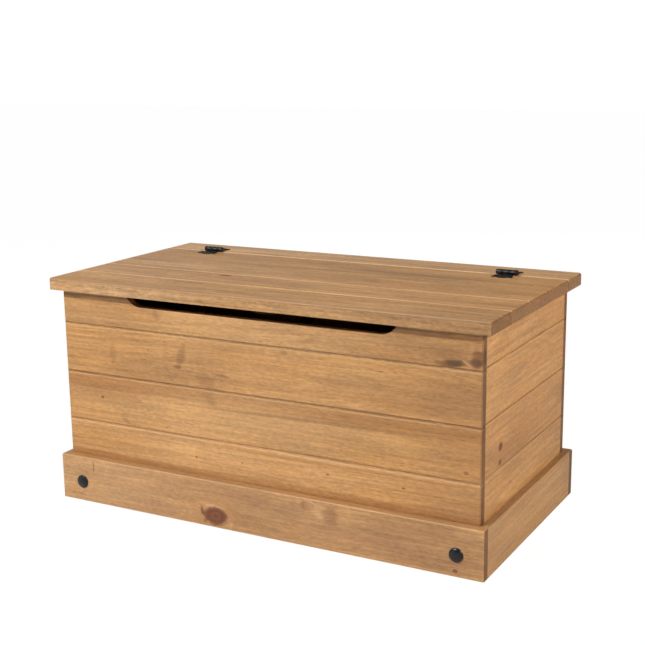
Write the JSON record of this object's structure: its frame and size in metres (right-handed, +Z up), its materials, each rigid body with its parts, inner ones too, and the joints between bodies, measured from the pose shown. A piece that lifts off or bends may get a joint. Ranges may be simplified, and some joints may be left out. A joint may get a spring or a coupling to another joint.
{
  "type": "toy box",
  "caption": "Boarded pine toy box with a hinged overhanging lid, a finger slot under its front edge, a raised skirt round the foot and soft-close lid stays inside.",
  "frame": {"origin": "on the floor, at the centre of the box's footprint, studs included", "axes": "+X along the width to the viewer's right, -Y out of the front, +Z up"},
  "size_m": [0.904, 0.48, 0.453],
  "materials": {
    "wall_pine": "waxed honey pine, satin",
    "lid_pine": "waxed honey pine, satin",
    "skirt_pine": "waxed honey pine, satin",
    "inner_pine": "planed pine, unwaxed",
    "base_ply": "plywood, unfinished",
    "beech_dowel": "plain beech",
    "black_iron": "black lacquered iron, satin",
    "zinc_screw": "zinc plated",
    "stay_tube": "black painted steel",
    "stay_steel": "ground rod",
    "stay_bracket": "zinc plated pressing"
  },
  "bodies": {
    "box": {"back_board_bottom": "wall_pine", "back_board_lower": "wall_pine", "back_board_top": "wall_pine", "back_board_upper": "wall_pine", "base_cleat_back": "inner_pine", "base_cleat_front": "inner_pine", "base_panel": "base_ply", "corner_post_back_left": "inner_pine", "corner_post_back_right": "inner_pine", "corner_post_front_left": "inner_pine", "corner_post_front_right": "inner_pine", "frame_screws": "zinc_screw", "front_board_bottom": "wall_pine", "front_board_lower": "wall_pine", "front_board_top": "wall_pine", "front_board_upper": "wall_pine", "hinge_left_pin": "black_iron", "hinge_left_rail_leaf": "black_iron", "hinge_rail_screws": "black_iron", "hinge_right_pin": "black_iron", "hinge_right_rail_leaf": "black_iron", "left_board_bottom": "wall_pine", "left_board_lower": "wall_pine", "left_board_top": "wall_pine", "left_board_upper": "wall_pine", "rail_dowels": "beech_dowel", "rear_rail": "lid_pine", "right_board_bottom": "wall_pine", "right_board_lower": "wall_pine", "right_board_top": "wall_pine", "right_board_upper": "wall_pine", "skirt_back": "skirt_pine", "skirt_front": "skirt_pine", "skirt_left": "skirt_pine", "skirt_right": "skirt_pine", "skirt_stud_left": "black_iron", "skirt_stud_right": "black_iron", "stay_wall_bracket_left": "stay_bracket", "stay_wall_bracket_right": "stay_bracket", "stay_wall_screws": "zinc_screw"},
    "lid": {"batten_screws": "zinc_screw", "hinge_left_lid_leaf": "black_iron", "hinge_lid_screws": "black_iron", "hinge_right_lid_leaf": "black_iron", "lid_batten_centre": "inner_pine", "lid_batten_left": "inner_pine", "lid_batten_right": "inner_pine", "lid_board_front": "lid_pine", "lid_board_front_middle": "lid_pine", "lid_board_rear": "lid_pine", "lid_board_rear_middle": "lid_pine", "stay_lid_bracket_left": "stay_bracket", "stay_lid_bracket_right": "stay_bracket", "stay_lid_screws": "zinc_screw"},
    "stay_cylinder_left": {"stay_cylinder_left": "stay_tube"},
    "stay_rod_left": {"stay_rod_left": "stay_steel"},
    "stay_cylinder_right": {"stay_cylinder_right": "stay_tube"},
    "stay_rod_right": {"stay_rod_right": "stay_steel"}
  },
  "joints": [
    {"name": "lid_hinge", "type": "hinge", "parent": "box", "child": "lid", "pos_m": [0, 0.157, 0.448], "axis": [-1, 0, 0], "range_deg": [0, 85]},
    {"name": "stay_wall_pivot_left", "type": "hinge", "parent": "box", "child": "stay_cylinder_left", "pos_m": [-0.402, 0.14393, 0.29857], "axis": [-1, 0, 0], "range_deg": [0, 42.5]},
    {"name": "stay_lid_pivot_left", "type": "hinge", "parent": "lid", "child": "stay_rod_left", "pos_m": [-0.402, 0.01434, 0.40165], "axis": [-1, 0, 0], "range_deg": [-42.5, 0]},
    {"name": "stay_wall_pivot_right", "type": "hinge", "parent": "box", "child": "stay_cylinder_right", "pos_m": [0.402, 0.14393, 0.29857], "axis": [-1, 0, 0], "range_deg": [0, 42.5]},
    {"name": "stay_lid_pivot_right", "type": "hinge", "parent": "lid", "child": "stay_rod_right", "pos_m": [0.402, 0.01434, 0.40165], "axis": [-1, 0, 0], "range_deg": [-42.5, 0]}
  ],
  "couplings": [
    {"joint": "stay_wall_pivot_left", "follows": "lid_hinge", "ratio": 0.5},
    {"joint": "stay_lid_pivot_left", "follows": "lid_hinge", "ratio": -0.5},
    {"joint": "stay_wall_pivot_right", "follows": "lid_hinge", "ratio": 0.5},
    {"joint": "stay_lid_pivot_right", "follows": "lid_hinge", "ratio": -0.5}
  ]
}
